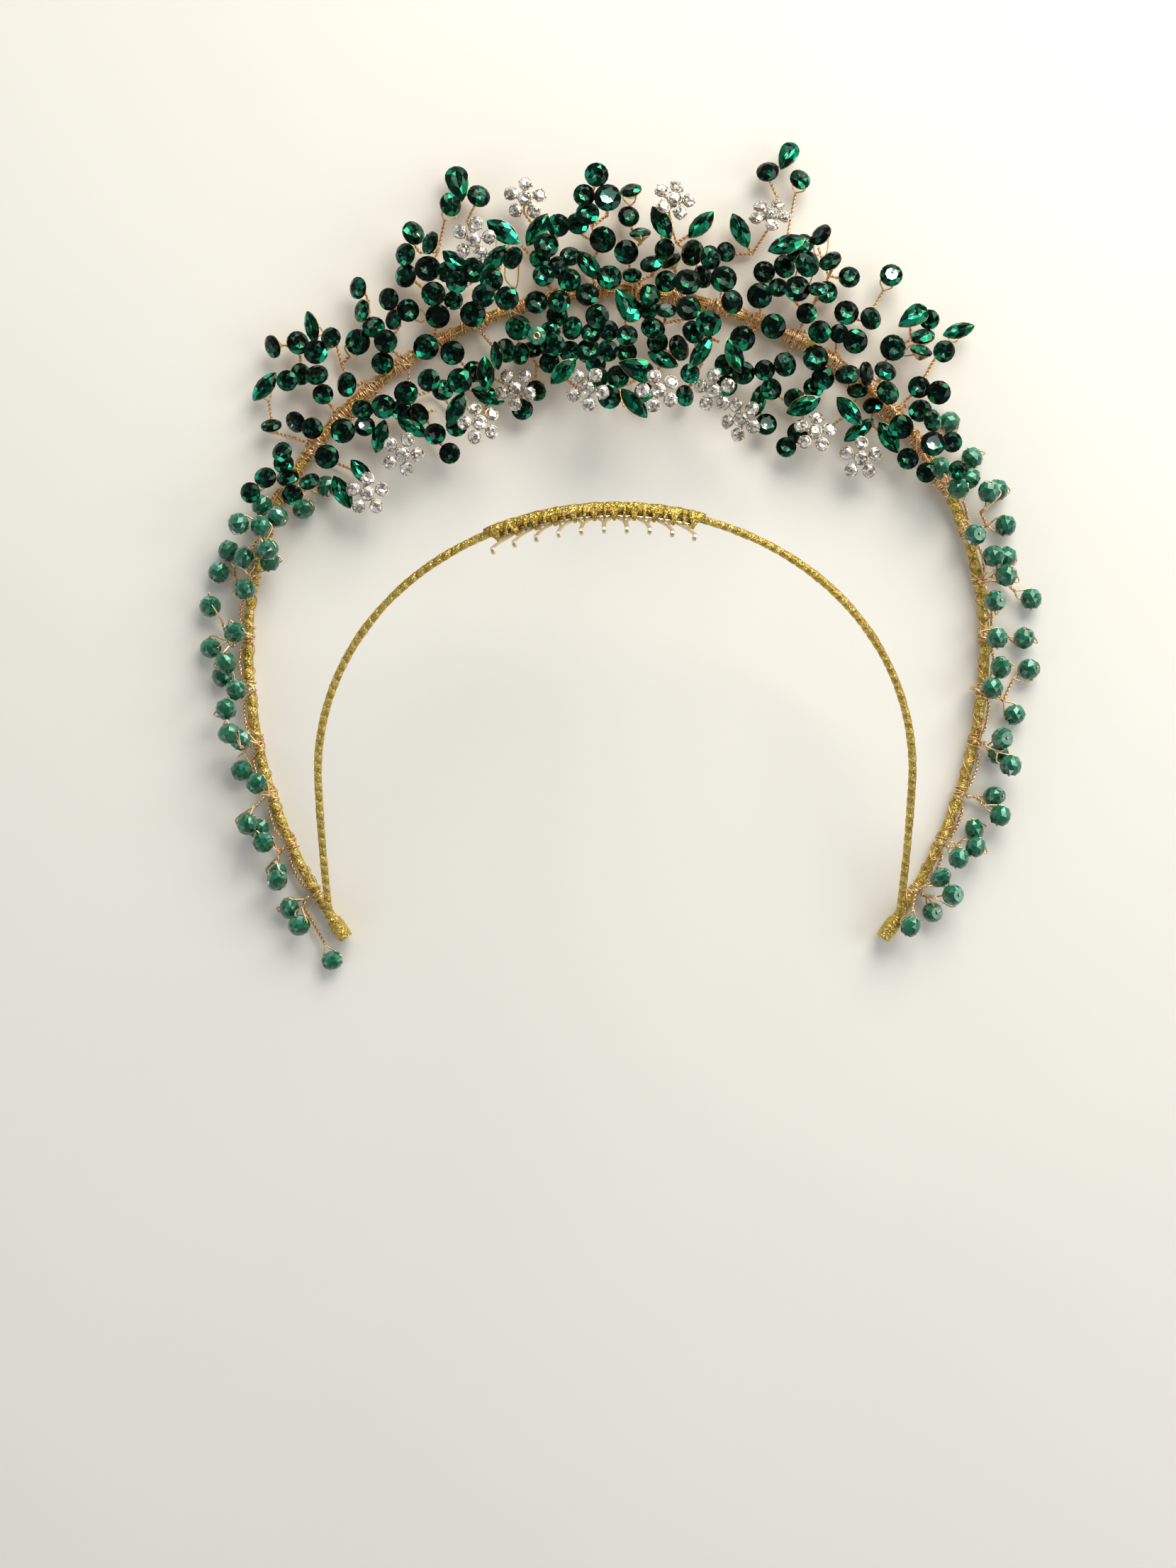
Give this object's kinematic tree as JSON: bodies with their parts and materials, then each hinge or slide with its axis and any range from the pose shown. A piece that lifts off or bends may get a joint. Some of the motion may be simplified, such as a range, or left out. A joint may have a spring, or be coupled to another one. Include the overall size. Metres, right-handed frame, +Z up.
{
  "type": "halo crown",
  "caption": "Halo hair crown: a tall wrapped wire hoop with lashed sprays of round stones, small clear flowers and faceted beads, joined to a lower headband with a hair comb.",
  "frame": {"origin": "middle of the crown's outline on the surface it lies on", "axes": "the crown lies on its back: +X across the head to the viewer's right, +Y from the hoops' ends to the top of the halo, +Z up from the surface, the way the comb's teeth point"},
  "size_m": [0.2172, 0.2133, 0.0817],
  "materials": {
    "braid_gold": "gold glitter braid tape wound round wire",
    "comb_gold": "pale gold plated stamped metal",
    "emerald_stone": "faceted deep emerald rhinestone with a foiled back",
    "clear_stone": "faceted clear rhinestone with a foiled back",
    "jade_bead": "faceted jade green bead with a grey lustre coat",
    "gilt_setting": "gilt cups, foil backs and prongs",
    "copper_wire": "fine rose gold craft wire, twisted in pairs"
  },
  "bodies": {
    "root": {"halo_band": "braid_gold", "headband": "braid_gold", "end_binding_left": "braid_gold", "end_binding_right": "braid_gold", "comb": "comb_gold", "comb_wrap": "braid_gold", "spray_01": "emerald_stone", "spray_02": "emerald_stone", "spray_03": "emerald_stone", "spray_04": "emerald_stone", "spray_05": "emerald_stone", "spray_06": "emerald_stone", "spray_07": "emerald_stone", "spray_08": "emerald_stone", "spray_09": "emerald_stone", "spray_10": "emerald_stone", "spray_11": "emerald_stone", "spray_12": "emerald_stone", "spray_13": "emerald_stone", "spray_14": "emerald_stone", "spray_15": "emerald_stone", "spray_16": "emerald_stone", "spray_17": "emerald_stone", "spray_18": "emerald_stone", "spray_19": "emerald_stone", "spray_20": "emerald_stone", "flower_01": "clear_stone", "flower_02": "clear_stone", "flower_03": "clear_stone", "flower_04": "clear_stone", "flower_05": "clear_stone", "flower_06": "clear_stone", "flower_07": "clear_stone", "flower_08": "clear_stone", "flower_09": "clear_stone", "flower_10": "clear_stone", "flower_11": "clear_stone", "flower_12": "clear_stone", "flower_13": "clear_stone", "flower_14": "clear_stone", "bead_twig_left_1": "jade_bead", "bead_twig_left_2": "jade_bead", "bead_twig_left_3": "jade_bead", "bead_twig_left_4": "jade_bead", "bead_twig_left_5": "jade_bead", "bead_twig_left_6": "jade_bead", "bead_twig_left_7": "jade_bead", "bead_twig_left_8": "jade_bead", "bead_twig_right_1": "jade_bead", "bead_twig_right_2": "jade_bead", "bead_twig_right_3": "jade_bead", "bead_twig_right_4": "jade_bead", "bead_twig_right_5": "jade_bead", "bead_twig_right_6": "jade_bead", "bead_twig_right_7": "jade_bead", "bead_twig_right_8": "jade_bead"}
  },
  "joints": []
}
